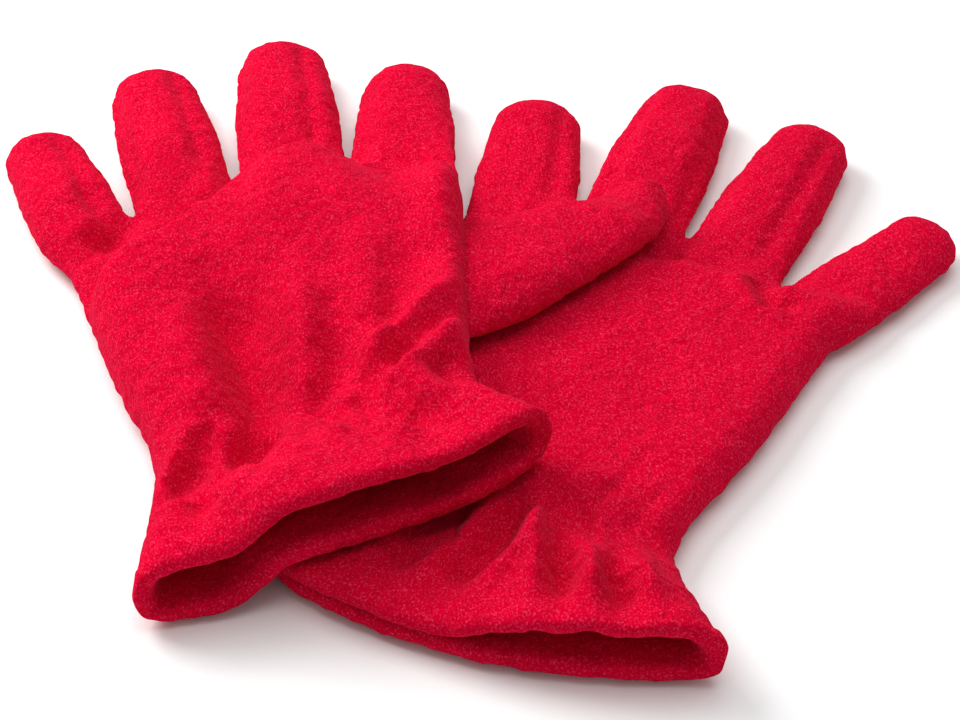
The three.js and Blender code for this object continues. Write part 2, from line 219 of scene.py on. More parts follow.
def to_table(glove, uv):
    """From a glove's own frame to the table on which the pair was laid out."""
    a = math.radians(glove["turn"])
    x, y = uv[..., 0] * glove["side"], uv[..., 1]
    turned = np.stack([x * math.cos(a) - y * math.sin(a), x * math.sin(a) + y * math.cos(a)], -1)
    return turned + np.array([glove["x"], glove["y"]])


def to_packed(glove, uv):
    """From a glove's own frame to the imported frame."""
    return to_table(glove, uv) + SHIFT


def lattice_noise(points, size, seed):
    """Smooth noise from -1 to 1 with features about size millimetres across."""
    p = np.asarray(points, float) / size
    cell = np.floor(p).astype(np.int64)
    f = p - cell
    f = f * f * (3 - 2 * f)
    total = np.zeros(len(p))
    for corner in range(2 ** p.shape[1]):
        bits = np.array([(corner >> k) & 1 for k in range(p.shape[1])])
        c = cell + bits + 100_003
        h = np.full(len(p), seed * 2_654_435_761 % 2**32, np.uint64)
        for k, prime in enumerate((73_856_093, 19_349_663, 83_492_791)[: p.shape[1]]):
            h = (h ^ (c[:, k].astype(np.uint64) * np.uint64(prime))) & np.uint64(0xFFFFFFFF)
            h = (h ^ (h >> np.uint64(15))) * np.uint64(2_246_822_519) & np.uint64(0xFFFFFFFF)
            h = (h ^ (h >> np.uint64(13))) * np.uint64(3_266_489_917) & np.uint64(0xFFFFFFFF)
        h ^= h >> np.uint64(16)
        value = (h & np.uint64(0xFFFF)).astype(float) / 32767.5 - 1
        total += value * np.prod(np.where(bits, f, 1 - f), axis=1)
    return total


def joint_named(name):
    return next(joint for joint in frame["joints"] if joint["name"] == name)


def joint_place(name):
    return np.array(joint_named(name)["pos_m"], float) / MM


def forward_of(name):
    """The level direction in which the part folded by a joint points."""
    axis = np.array(joint_named(name)["axis"], float)
    return np.array([-axis[1], axis[0], 0])


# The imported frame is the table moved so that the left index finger's foot meets its joint.
INDEX_FOOT = 14.55  # from the index finger's crotch to the middle of its foot
INDEX_SIDE = directions(GLOVES["left"]["fingers"]["index"])[1]
FOOT_ON_TABLE = to_table(GLOVES["left"], np.array(CROTCHES["index"], float) + INDEX_SIDE * INDEX_FOOT)
SHIFT = joint_place("left_index_fold")[:2] - FOOT_ON_TABLE


# ------ plan of a glove

def finger_plan(glove):
    """Foot, directions, half width and length of each finger, in the glove's own frame."""
    plan = {}
    spot = {name: np.array(place, float) for name, place in CROTCHES.items()}
    before = None  # the finger on the thumb's side
    for name, size in FINGERS.items():
        forward, side = directions(glove["fingers"][name])
        half = size["half"]
        if before is None:
            foot = spot[name] + side * half
        elif name not in spot:
            foot = spot[before] - side * half
        else:
            a, b = spot[before], spot[name]
            foot = (a + b) / 2
            half = min(half, abs((b - a) @ side) / 2 - FINGER_GAP)
        crotches = {"thumb": before, "little": name}
        starts = {k: (spot[c] - foot) @ forward for k, c in crotches.items() if c in spot}
        before = name
        plan[name] = dict(
            foot=foot, forward=forward, side=side, half=half, length=size["length"],
            thumb=starts.get("thumb"), little=starts.get("little"),
            start=max(starts.values()) + STRIP_START,
        )
    return plan


def stop_of(finger):
    """Where a finger's sides end and its round tip begins."""
    return finger["length"] - TIP_REACH * finger["half"]


def finger_side(finger, sign, start, stop):
    """Points along one side of a finger, which is narrower at its foot and towards its tip."""
    places = np.linspace(start, stop, max(2, int(round(abs(stop - start) / MESH_STEP)) + 1))
    outer = finger["thumb" if sign > 0 else "little"] is None
    pinch = 0 if outer else FOOT_PINCH
    end = stop_of(finger)
    taper = TIP_TAPER * smoothstep(places, end - TAPER_LENGTH, end)
    slim = pinch * (1 - smoothstep(places, PINCH_FROM, PINCH_TO)) + taper
    foot, forward, side = finger["foot"], finger["forward"], finger["side"]
    halves = finger["half"] * (1 - slim)
    return [foot + forward * place + side * sign * half for place, half in zip(places, halves)]


def finger_tip(finger):
    """The round end from the thumb side to the other, a little squarer than a half circle."""
    half, begin = finger["half"] * (1 - TIP_TAPER), stop_of(finger)
    points = []
    for a in np.linspace(0, math.pi, int(round(math.pi * half / MESH_STEP)) + 1)[1:-1]:
        across = math.copysign(abs(math.cos(a)) ** TIP_SQUARENESS, math.cos(a)) * half
        along = begin + (finger["length"] - begin) * math.sin(a) ** TIP_SQUARENESS
        points.append(finger["foot"] + finger["forward"] * along + finger["side"] * across)
    return points


def side_half(glove, v, side):
    """Half width of the hand and the unskewed cuff, on the thumb's side where side is above 0."""
    v = np.asarray(v, float)
    flare = np.clip(-v / CUFF_LENGTH, 0, 1)
    cuff = WRIST_HALF + (glove["cuff"]["half"] - WRIST_HALF) * flare**CUFF_FLARE
    hand = np.where(np.asarray(side) > 0, curve(THUMB_HALVES, v), curve(LITTLE_HALVES, v))
    return np.where(v < 0, cuff, hand) + WRIST_BULGE * bell(v, WRIST_BULGE_WIDTH)


def hand_outline(glove):
    """The outline of hand and fingers, from the cuff's thumb-side corner to its other corner."""
    plan = finger_plan(glove)
    places = np.linspace(MOUTH, SIDE_TOP, int(round((SIDE_TOP - MOUTH) / MESH_STEP)) + 1)
    points = [np.array([half, v]) for half, v in zip(side_half(glove, places, 1), places)]
    for name, finger in plan.items():
        stop = stop_of(finger)
        begin = INDEX_START if name == "index" else finger["thumb"] + CROTCH_GAP
        end = LITTLE_END if name == "little" else finger["little"] + CROTCH_GAP
        points += finger_side(finger, 1, begin, stop)
        points += finger_tip(finger)
        points += finger_side(finger, -1, stop, end)
        if name in CROTCHES:
            points.append(np.array(CROTCHES[name], float))
    down = places[places < LITTLE_SIDE_TOP][::-1]
    points += [np.array([-half, v]) for half, v in zip(side_half(glove, down, -1), down)]
    return np.array(points)


def skew(glove, uv):
    """The cuff's sideways shift, slant and bow."""
    uv = np.array(uv, float)
    cuff = glove["cuff"]
    flare = np.clip(-uv[:, 1] / CUFF_LENGTH, 0, MOST_FLARE)
    share = np.clip(uv[:, 0] / cuff["half"], -1, 1)
    out = uv.copy()
    out[:, 0] += cuff["shift"] * flare
    tilt = math.tan(math.radians(cuff["slant"])) * uv[:, 0]
    out[:, 1] += flare * (tilt + cuff["ends"] - cuff["bow"] * (1 - share**2))
    return out


def resampled(corners, step):
    """A closed smooth line through the corners, its points about step apart, its last side straight."""
    corners = np.array(corners, float)
    run = np.concatenate([[0], np.cumsum(np.linalg.norm(np.diff(corners, axis=0), axis=1))])
    places = np.linspace(0, run[-1], int(round(run[-1] / step)) + 1)
    smooth = np.column_stack([curve(list(zip(run, corners[:, k])), places) for k in range(2)])
    gap = corners[0] - corners[-1]
    count = int(round(np.linalg.norm(gap) / step))
    straight = [corners[-1] + gap * k / count for k in range(1, count)]
    return np.concatenate([smooth, straight])


def inside(points, loop):
    """Which points lie inside a closed loop."""
    x, y = points[:, 0:1], points[:, 1:2]
    x0, y0 = loop[:, 0], loop[:, 1]
    x1, y1 = np.roll(x0, -1), np.roll(y0, -1)
    rise = np.where(y1 == y0, 1e-9, y1 - y0)
    cross = ((y0 > y) != (y1 > y)) & (x < x0 + (y - y0) * (x1 - x0) / rise)
    return cross.sum(axis=1) % 2 == 1


def distance(points, line, closed=True):
    """Distance of each point from an outline."""
    best = np.full(len(points), np.inf)
    ends = np.roll(line, -1, axis=0)
    for a, b in list(zip(line, ends))[: None if closed else -1]:
        d = b - a
        t = np.clip(((points - a) @ d) / max(d @ d, 1e-9), 0, 1)
        best = np.minimum(best, np.linalg.norm(points - a - t[:, None] * d, axis=1))
    return best


def doubled_area(points):
    """Twice the area of a polygon, below 0 where it runs clockwise."""
    ahead = np.roll(points, -1, axis=0)
    return np.sum(points[:, 0] * ahead[:, 1] - ahead[:, 0] * points[:, 1])


def offset_rows(outline, closed):
    """Copies of the outline moved inwards by each of SIDE_ROWS."""
    if closed:
        tangent = np.roll(outline, -1, axis=0) - np.roll(outline, 1, axis=0)
    else:
        tangent = np.gradient(outline, axis=0)
        tangent[0], tangent[-1] = (0, 1), (0, -1)
    inward = np.stack([-tangent[:, 1], tangent[:, 0]], 1)
    inward /= np.linalg.norm(inward, axis=1)[:, None]
    inward *= np.sign(doubled_area(outline))
    return [outline + inward * d for d in SIDE_ROWS]


def flat_mesh(outline, closed):
    """A flat mesh of an outline: points, faces, and the chain of points along an open last edge."""
    rows = [outline] + offset_rows(outline, closed)
    n = len(outline)
    points = np.concatenate(rows)
    spans = n if closed else n - 1
    faces = []
    for row in range(len(SIDE_ROWS)):
        for i in range(spans):
            j = (i + 1) % n
            faces.append((row * n + i, row * n + j, (row + 1) * n + j, (row + 1) * n + i))
    core = rows[-1]
    first = len(SIDE_ROWS) * n
    loop, mouth = core, []
    if not closed:
        gap = core[0] - core[-1]
        count = int(round(np.linalg.norm(gap) / MESH_STEP))
        extra = np.array([core[-1] + gap * k / count for k in range(1, count)])
        mouth = list(range(len(points), len(points) + len(extra)))
        points = np.concatenate([points, extra])
        loop = np.concatenate([core, extra])
    low, high = loop.min(0), loop.max(0)
    grid = np.array([
        (x + (i % 2) * MESH_STEP / 2, y)
        for i, y in enumerate(np.arange(low[1], high[1], MESH_STEP * math.sqrt(3) / 2))
        for x in np.arange(low[0], high[0], MESH_STEP)
    ])
    grid = grid[inside(grid, loop)]
    grid = grid[distance(grid, loop) > MESH_STEP / 2]
    ids = list(range(first, first + n)) + mouth + list(range(len(points), len(points) + len(grid)))
    points = np.concatenate([points, grid])
    corners = [Vector(points[i]) for i in ids]
    result = delaunay_2d_cdt(corners, [], [list(range(len(loop)))], 1, 1e-6)
    back_to = [origin[0] for origin in result[3]]
    faces += [tuple(ids[back_to[k]] for k in face) for face in result[2]]
    ring = []
    if not closed:
        a_side = [row * n for row in range(len(rows))]
        b_side = [row * n + n - 1 for row in range(len(rows))]
        ring = a_side + mouth[::-1] + b_side[::-1]
    return points, faces, ring


def turned_alike(points, faces, sign):
    """The faces of a flat mesh, all anticlockwise where sign is above 0 and clockwise where it isn't."""
    areas = [doubled_area(points[list(face)]) for face in faces]
    return [tuple(face) if (area > 0) == (sign > 0) else tuple(face[::-1])
            for face, area in zip(faces, areas)]


# ------ what the gloves lie on

LAY_GAP = 0.5  # air between the two gloves
GRID_STEP = 1.5
GRID_MARGIN = 20.0
CLOTH_SAG = 0.05  # how fast cloth bridging from something high comes down, per pass over the grid
SAG_PASSES = 900
WIDENING_PASSES, SMOOTHING_PASSES = 2, 3


class Ground:
    """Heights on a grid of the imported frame: the table, or cloth bridging over what lies on it."""

    def __init__(self, low, high):
        self.low = np.array(low, float)
        self.shape = tuple(np.ceil((np.array(high, float) - self.low) / GRID_STEP).astype(int) + 2)
        self.height = np.zeros(self.shape)

    def add(self, points):
        cells = np.round((points[:, :2] - self.low) / GRID_STEP).astype(int)
        good = np.all((cells > 1) & (cells < np.array(self.shape) - 2), axis=1)
        np.maximum.at(self.height, tuple(cells[good].T), points[good, 2] + LAY_GAP)

    def drape(self):
        """Lets a cloth bridge from everything that was added down to the table."""
        def neighbours(grid):
            return [np.roll(grid, step, axis) for step in (-1, 1) for axis in (0, 1)]
        hard = self.height.copy()
        for _ in range(WIDENING_PASSES):
            hard = np.maximum.reduce([hard] + neighbours(hard))
        soft = hard.copy()
        for _ in range(SAG_PASSES):
            mean = sum(neighbours(soft)) / 4
            soft = np.maximum(hard, mean - CLOTH_SAG)
        for _ in range(SMOOTHING_PASSES):
            soft = (soft * 2 + sum(neighbours(soft))) / 6
        self.height = soft

    def at(self, xy):
        """Heights at points, between those of the grid."""
        p = (np.asarray(xy, float) - self.low) / GRID_STEP
        cell = np.clip(np.floor(p).astype(int), 0, np.array(self.shape) - 2)
        f = np.clip(p - cell, 0, 1)
        i, j = cell[:, 0], cell[:, 1]
        h = self.height
        low = h[i, j] * (1 - f[:, 0]) + h[i + 1, j] * f[:, 0]
        high = h[i, j + 1] * (1 - f[:, 0]) + h[i + 1, j + 1] * f[:, 0]
        return low * (1 - f[:, 1]) + high * f[:, 1]


# ------ the glove's full shape

def thickness(glove, flat):
    """How thick the glove lies at each point of its flat plan."""
    u, v = flat[:, 0], flat[:, 1]
    hand = curve(glove["thickness"], v)
    start = curve(glove["ridge"], u) if glove["ridge"] else np.full(len(u), NO_RIDGE)
    hand *= 1 - glove["pressed"] * smoothstep(u, *PRESSED_ACROSS) * (1 - smoothstep(v, *PRESSED_ALONG))
    drop = smoothstep(v, start - RIDGE_CREST, start + RIDGE_DROP)
    swell = smoothstep(v, start + RIDGE_DROP, start + FINGER_SWELL)
    finger = FINGER_ROOT + (FINGER_TOP - FINGER_ROOT) * swell
    return hand + (finger - hand) * drop


def seam_height(glove, flat):
    """Height of the side seams above what the glove lies on: half way up at the open cuff."""
    flare = np.clip(-flat[:, 1] / CUFF_LENGTH, 0, 1)
    at_mouth = curve(glove["thickness"], [-CUFF_LENGTH])[0] * CUFF_SEAM_SHARE
    return SEAM_LEVEL + (at_mouth - SEAM_LEVEL) * flare


def layer_heights(glove, flat, full):
    """Heights of back and palm above what the glove lies on."""
    seam, thick = seam_height(glove, flat), thickness(glove, flat)
    back = seam + (thick - seam) * rounding(full / curve(SIDE_ROUNDING, flat[:, 1]))
    palm = UNDERSIDE + seam * (1 - rounding(full / UNDER_ROUNDING))
    return back, palm


def rounding(x):
    """A quarter circle: 0 at 0, and 1 from 1 on."""
    return np.sqrt(np.clip(1 - (1 - np.clip(x, 0, 1)) ** 2, 0, 1))


def hand_fullness(glove, flat):
    """Distance from the nearer side of the hand, along a line across it."""
    return np.maximum(side_half(glove, flat[:, 1], flat[:, 0]) - np.abs(flat[:, 0]), 0)


BACK, PALM, HEM, LINING = PARTS = range(4)


class Shell:
    """A growing mesh. Each point keeps its place in the flat plan, its distance from the plan's outline
    (its fullness), and its layer: 1 on the back, -1 on the palm side, 0 on the side seam."""

    def __init__(self):
        self.points, self.flat, self.full, self.layer = [], [], [], []
        self.faces, self.part = [], []

    def add(self, points, flat, full, layer):
        start = len(self.points)
        self.points += list(points)
        self.flat += list(flat)
        self.full += list(full)
        self.layer += list(layer)
        return np.arange(start, len(self.points))

    def face(self, ids, part):
        if len(set(ids)) > 2:
            self.faces.append(tuple(int(i) for i in ids))
            self.part.append(part)

    def add_layers(self, back, palm, flat, full, fixed, faces):
        """Adds a back and a palm that share the fixed points, and returns the numbers of both."""
        top = self.add(back, flat, full, np.where(fixed, 0.0, 1.0))
        free = np.where(~fixed)[0]
        bottom = top.copy()
        bottom[free] = self.add(palm[free], flat[free], full[free], -np.ones(len(free)))
        for face in faces:
            self.face([top[i] for i in face], BACK)
            self.face([bottom[i] for i in face[::-1]], PALM)
        return top, bottom


def place(glove, flat, height, ground):
    """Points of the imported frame, at heights above what the glove lies on."""
    xy = to_packed(glove, skew(glove, flat))
    return np.column_stack([xy, height + ground.at(xy)])


FULL_INSIDE = 20.0  # fullness at the middle of the lining's end
CUFF_FADE = (10, 50)  # where the fullness changes from a section's to the outline's
ROLL_ANGLES = (0.7, 1.3, 1.9, 2.5, 3.05)  # radians round the rolled edge
HEM_DEPTHS = (3.5, 8.0, HEM_WIDTH - 1)  # rows of points inside the mouth
HEM_STEP = (1.5 * LIP, HEM_WIDTH + 0.6)  # inset and depth of the hem's stitched edge
LINING_DEPTHS = (HEM_WIDTH + 2, 22, 29, 36, 43, 52, 64, 80, 96)


def glove_shell(glove, ground):
    """Hand, fingers, rolled hem and lining of one glove as one mesh, still smooth."""
    outline = hand_outline(glove)
    flat, faces, mouth = flat_mesh(outline, closed=False)
    faces = turned_alike(flat, faces, glove["side"])
    fixed = np.arange(len(flat)) < len(outline)
    full = distance(flat, outline, closed=False)
    near_cuff = 1 - smoothstep(flat[:, 1], *CUFF_FADE)
    full = full + (hand_fullness(glove, flat) - full) * near_cuff
    full[fixed] = 0
    back, palm = layer_heights(glove, flat, full)
    shell = Shell()
    layers = (place(glove, flat, height, ground) for height in (back, palm))
    top, bottom = shell.add_layers(*layers, flat, full, fixed, faces)
    ring_top = [top[i] for i in mouth]
    ring_low = [bottom[i] for i in mouth[1:-1]][::-1]
    add_hem_and_lining(glove, ground, shell, np.array(ring_top + ring_low), len(ring_top))
    return shell


def cross_section(glove, ground, shares, on_top, v, inset):
    """The glove's section at v, moved inwards by inset: points, flat places, fullness."""
    flat = np.column_stack([shares * side_half(glove, v, shares), np.full(len(shares), v)])
    full = hand_fullness(glove, flat)
    back, palm = layer_heights(glove, flat, full)
    height = np.where(on_top, back, palm)
    edge = np.isclose(np.abs(shares), 1)
    height[edge] = seam_height(glove, flat)[edge]
    ring = np.column_stack([flat[:, 0], height])
    tangent = np.roll(ring, -1, axis=0) - np.roll(ring, 1, axis=0)
    inward = np.stack([tangent[:, 1], -tangent[:, 0]], 1)
    inward /= np.linalg.norm(inward, axis=1)[:, None]
    inward *= np.sign(np.sum(inward * (ring.mean(0) - ring), axis=1).sum())
    ring = ring + inward * inset
    flat = np.column_stack([ring[:, 0], np.full(len(shares), v)])
    return place(glove, flat, ring[:, 1], ground), flat, full


def add_hem_and_lining(glove, ground, shell, ring, top_count):
    """Rolls the cloth over at the cuff's mouth, and carries it back inside the glove."""
    across = np.array([shell.flat[i][0] for i in ring])
    shares = across / side_half(glove, MOUTH, across)
    on_top = np.arange(len(ring)) < top_count
    steps = [(LIP * (1 - math.cos(a)), -LIP * math.sin(a), HEM) for a in ROLL_ANGLES]
    steps += [(2 * LIP, depth, HEM) for depth in HEM_DEPTHS]
    steps += [(*HEM_STEP, HEM)]
    steps += [(FLEECE, depth, LINING) for depth in LINING_DEPTHS]
    layer = np.where(on_top, 1.0, -1.0)
    layer[np.isclose(np.abs(shares), 1)] = 0
    last = ring
    for inset, depth, part in steps:
        points, flat, full = cross_section(glove, ground, shares, on_top, depth + MOUTH, inset)
        new = shell.add(points, flat, full, layer)
        for k in range(len(ring)):
            m = (k + 1) % len(ring)
            quad = (last[k], last[m], new[m], new[k])
            shell.face(quad if glove["side"] > 0 else quad[::-1], part)
        last = new
    middle = np.mean([shell.points[i] for i in last], axis=0)
    inmost = LINING_DEPTHS[-1] - CUFF_LENGTH
    centre = shell.add([middle], [(0, inmost)], [FULL_INSIDE], [0])[0]
    for k in range(len(ring)):
        m = (k + 1) % len(ring)
        fan = (last[k], last[m], centre)
        shell.face(fan if glove["side"] > 0 else fan[::-1], LINING)


def thumb_shell(glove, ground):
    """The thumb as a closed pillow whose root is tucked into the hand."""
    outline = resampled(THUMB_OUTLINE, MESH_STEP)
    flat, faces, _ = flat_mesh(outline, closed=True)
    faces = turned_alike(flat, faces, -glove["side"])
    fixed = np.arange(len(flat)) < len(outline)
    full = distance(flat, outline)
    tall = glove["thumb"]["height"]
    seam = tall * THUMB_SEAM_SHARE
    back = seam + (tall - seam) * rounding(full / THUMB_ROUNDING)
    palm = THUMB_UNDERSIDE + seam * (1 - rounding(full / THUMB_UNDER_ROUNDING))
    forward, side = directions(glove["thumb"]["turn"])
    uv = np.array(THUMB_FOOT) + flat[:, :1] * forward + flat[:, 1:] * side
    xy = to_packed(glove, uv)
    base = ground.at(xy)
    raised = ROOT_LIFT * (1 - smoothstep(flat[:, 0], THUMB_OUTLINE[0][0], ROOT_END))
    shell = Shell()
    layers = (np.column_stack([xy, height]) for height in (base + back, base + palm + raised))
    shell.add_layers(*layers, flat, full, fixed, faces)
    return shell


# ------ fine mesh and its relief

class Fine:
    """A shell's subdivided mesh as arrays."""

    def __init__(self, shell):
        mesh = bpy.data.meshes.new("coarse")
        mesh.from_pydata([tuple(p) for p in shell.points], [], shell.faces)
        mesh.polygons.foreach_set("material_index", shell.part)
        facts = np.column_stack([np.array(shell.flat, float), shell.full])
        plan = mesh.attributes.new("plan", "FLOAT_VECTOR", "POINT")
        plan.data.foreach_set("vector", facts.astype(np.float32).ravel())
        side = mesh.attributes.new("side", "FLOAT", "POINT")
        side.data.foreach_set("value", np.array(shell.layer, np.float32))
        mesh.validate()
        for _ in PARTS:
            mesh.materials.append(None)
        thing = bpy.data.objects.new("coarse", mesh)
        bpy.context.scene.collection.objects.link(thing)
        modifier = thing.modifiers.new("fine", "SUBSURF")
        modifier.levels = SUBDIVISIONS
        modifier.uv_smooth = "NONE"
        bpy.context.view_layer.update()
        done = thing.evaluated_get(bpy.context.evaluated_depsgraph_get()).to_mesh()
        n = len(done.vertices)
        self.points = np.zeros(n * 3)
        done.vertices.foreach_get("co", self.points)
        self.points = self.points.reshape(-1, 3)
        facts = np.zeros(n * 3, np.float32)
        done.attributes["plan"].data.foreach_get("vector", facts)
        facts = facts.reshape(-1, 3).astype(float)
        self.flat, self.full = facts[:, :2], facts[:, 2]
        self.layer = np.zeros(n, np.float32)
        done.attributes["side"].data.foreach_get("value", self.layer)
        count = len(done.polygons)
        corners = np.zeros(count * 4, np.int32)
        done.polygons.foreach_get("vertices", corners)
        self.quads = corners.reshape(-1, 4)
        self.part = np.zeros(count, np.int32)
        done.polygons.foreach_get("material_index", self.part)
        thing.to_mesh_clear()
        bpy.data.objects.remove(thing)
        bpy.data.meshes.remove(mesh)

    def normals(self):
        p = self.points[self.quads]
        face = np.cross(p[:, 2] - p[:, 0], p[:, 3] - p[:, 1])
        total = np.zeros_like(self.points)
        for k in range(4):
            np.add.at(total, self.quads[:, k], face)
        return total / np.maximum(np.linalg.norm(total, axis=1), 1e-9)[:, None]


# Creases: the route of each in the glove's own frame, its depth, its half width, and how far its
# raised sides stand up, as a share of the depth.
CREASES = {
    "left": [
        ([(-14, 56), (-12.5, 30), (-11.5, 12), (-11, 0)], 6.0, 5.5, 0.45),
        ([(-11, 6), (-15, -6), (-18, -19)], 4.4, 3.2, 0.7),
        ([(-18, 6), (-27, -9), (-36, -24)], 4.4, 3.2, 0.7),
        ([(-15, 2), (-23, -13), (-32, -31)], 4.0, 3.0, 0.7),
        ([(-24, 8), (-30, -8), (-37, -19)], 2.8, 2.8, 0.6),
        ([(12, 44), (9, 26), (6, 10), (1, 0)], 2.8, 3.6, 0.5),
        ([(40, 56), (32, 40), (24, 26), (15, 10)], 3.8, 6.0, 0.35),
        ([(42, 24), (32, 17), (22, 10), (14, 5)], 3.4, 2.8, 0.7),
        ([(13, 12), (13, 0), (17, -11), (25, -18)], 3.4, 3.0, 0.6),
        ([(5, 5), (8, -7), (10, -16)], 2.4, 3.2, 0.6),
        ([(24, 9), (33, 0), (42, -6)], 2.0, 3.4, 0.5),
        ([(-30, 108), (-37, 98), (-45, 90)], 2.4, 3.2, 0.5),
        ([(-44, 122), (-40, 108), (-35, 98)], 1.3, 3.0, 0.4),
        ([(30, 124), (20, 116), (13, 112)], 4.0, 3.2, 0.4),
        ([(-2, 128), (-3, 118), (-5, 106)], 4.5, 3.4, 0.4),
    ],
    "right": [
        ([(-3, 4), (-2, -14), (3, -31)], 3.8, 3.2, 0.7),
        ([(-10, 6), (-19, -15), (-24, -34)], 3.8, 3.0, 0.7),
        ([(-16, 6), (-28, -13), (-37, -32)], 4.0, 3.0, 0.7),
        ([(-23, 8), (-35, -10), (-44, -20)], 3.6, 3.0, 0.6),
        ([(-31, 8), (-38, -4), (-49, -17)], 2.6, 2.8, 0.6),
        ([(12, 2), (13, -14), (17, -30)], 2.4, 3.2, 0.5),
        ([(4, 2), (5, -12), (9, -26)], 2.2, 3.0, 0.5),
        ([(-31, 107), (-29, 100), (-34, 93), (-42, 93)], 2.4, 2.6, 0.5),
        ([(-3, 118), (-2, 108), (0, 100)], 1.8, 3.2, 0.4),
    ],
}
CREASE_SCALE = 1.35
CREASE_SPREAD = 1.2
CREASE_IN, CREASE_OUT = (0, 0.3), (0.75, 1.0)  # shares of its length over which a crease comes and goes
CREASE_LEAST = 0.15  # share of its depth that a crease keeps at its ends
SIDE_PLACE, SIDE_WIDTH = 1.9, 0.9  # of its raised sides, in half widths
# The cloth's slow waves: size, height and random seed offset. The fingers keep WAVE_SHARE of them.
WAVES = [(31, 0.9, 0), (14, 0.5, 1)]
WAVE_SHARE = 0.45
KNUCKLES = (105, 130)
# Gathers at the wrist: puffs along the gather line, wavering and of uneven strength.
GATHER = dict(pitch=9.5, height=3.3, reach=16.0, waver=2.6, waver_size=22, bluntness=0.7, mean=0.62)
GATHER_STRENGTH = dict(mean=0.65, change=0.45, size=13, stretch=0.3)
NECK_DEPTH, NECK_WIDTH = -1.2, 5.0
UNDER_GATHER, UNDER_LIFT = 0.8, 0.4  # share of the puffs under the wrist, and a lift of the whole
SIDE_SOFTNESS = 5.0  # relief fades within this distance of the side seams
SEAM_DEPTH, SEAM_WIDTH = 1.4, 2.7
SEAM_FADE_IN, SEAM_FADE_OUT = (-9, 2), (-13, -4)  # from where a strip starts, and from the tip
TIP_NARROWING, TIP_NARROWING_LENGTH = 0.35, 16.0  # strips draw together at the tip
HEM_SEAM_DEPTH, HEM_SEAM_WIDTH = 0.55, 1.2
OUTLINE_SEAM_DEPTH, OUTLINE_SEAM_WIDTH = 0.5, 2.4
PILE = [(3.6, 0.2), (2.1, 0.3)]  # clump size and height


def crease_profile(uv, route, width, ridge):
    """Shape of a crease at each point: 1 on its route, below 0 on the raised sides, 0 further off."""
    route = np.array(route, float)
    lengths = np.linalg.norm(np.diff(route, axis=0), axis=1)
    total, run = lengths.sum(), 0.0
    best = np.full(len(uv), np.inf)
    place_on = np.zeros(len(uv))
    for a, b, length in zip(route[:-1], route[1:], lengths):
        d = (b - a) / length
        t = np.clip((uv - a) @ d, 0, length)
        gap = np.linalg.norm(uv - a - t[:, None] * d, axis=1)
        closer = gap < best
        best = np.where(closer, gap, best)
        place_on = np.where(closer, (run + t) / total, place_on)
        run += length
    taper = smoothstep(place_on, *CREASE_IN) * (1 - smoothstep(place_on, *CREASE_OUT))
    profile = bell(best, width) - ridge * bell(best - SIDE_PLACE * width, SIDE_WIDTH * width)
    return profile * (CREASE_LEAST + (1 - CREASE_LEAST) * taper)


def lift(name, fine):
    """Height that gathers, creases and soft waves add to each point."""
    glove = GLOVES[name]
    uv = skew(glove, fine.flat)
    u, v = uv.T
    seed = glove["seed"]
    hand = 1 - smoothstep(v, *KNUCKLES)
    waves = sum(height * lattice_noise(uv, size, seed + k) for size, height, k in WAVES)
    waves *= WAVE_SHARE + (1 - WAVE_SHARE) * hand
    beyond = v - (glove["gather"]["slope"] * u + glove["gather"]["offset"])
    spread = WRIST_HALF / side_half(glove, fine.flat[:, 1], fine.flat[:, 0])
    waver = GATHER["waver"] * lattice_noise(uv, GATHER["waver_size"], seed + 2)
    phase = (fine.flat[:, 0] * spread + waver) * math.pi / GATHER["pitch"]
    stretched = np.column_stack([u, v * GATHER_STRENGTH["stretch"]])
    unevenness = lattice_noise(stretched, GATHER_STRENGTH["size"], seed + 3)
    strength = GATHER_STRENGTH["mean"] + GATHER_STRENGTH["change"] * unevenness
    puff = np.abs(np.sin(phase)) ** GATHER["bluntness"] - GATHER["mean"]
    puff = puff * strength * bell(beyond, GATHER["reach"])
    neck = NECK_DEPTH * bell(beyond, NECK_WIDTH)
    creases = np.zeros(len(u))
    for route, depth, width, ridge in CREASES[name]:
        creases -= CREASE_SCALE * depth * crease_profile(uv, route, CREASE_SPREAD * width, ridge)
    top = waves + creases + neck + GATHER["height"] * puff
    low = UNDER_GATHER * GATHER["height"] * np.maximum(puff, 0) + UNDER_LIFT
    soft = 1 - np.exp(-fine.full / SIDE_SOFTNESS)
    return np.where(fine.layer > 0, top * soft, low * soft)


def seam_relief(name, fine):
    """Depth of the sewn lines: along each finger's side strips, round the outline and the hem."""
    glove = GLOVES[name]
    depth = np.zeros(len(fine.points))
    for finger_name, finger in finger_plan(glove).items():
        offset = fine.flat - finger["foot"]
        along, across = offset @ finger["forward"], offset @ finger["side"]
        from_start, from_tip = along - finger["start"], along - finger["length"]
        share = smoothstep(from_start, *SEAM_FADE_IN) * (1 - smoothstep(from_tip, *SEAM_FADE_OUT))
        share *= np.abs(across) < finger["half"] + 1
        narrow = np.clip(from_tip / TIP_NARROWING_LENGTH + 1, 0, 1)
        for where in STRIP_SEAMS[f"{name}_{finger_name}"].values():
            line = where * finger["half"] * (1 - TIP_NARROWING * narrow**2)
            depth += SEAM_DEPTH * bell(across - line, SEAM_WIDTH) * share * (fine.layer > 0)
    past_hem = fine.flat[:, 1] - MOUTH - HEM_WIDTH
    depth += HEM_SEAM_DEPTH * bell(past_hem, HEM_SEAM_WIDTH) * (fine.full > 2)
    depth += OUTLINE_SEAM_DEPTH * bell(fine.full, OUTLINE_SEAM_WIDTH) * (fine.flat[:, 1] > MOUTH + 2)
    return depth


def pile_relief(fine):
    """Height of the fleece's clumps of pile."""
    return sum(h * lattice_noise(fine.points, size, 7 + k) for k, (size, h) in enumerate(PILE))


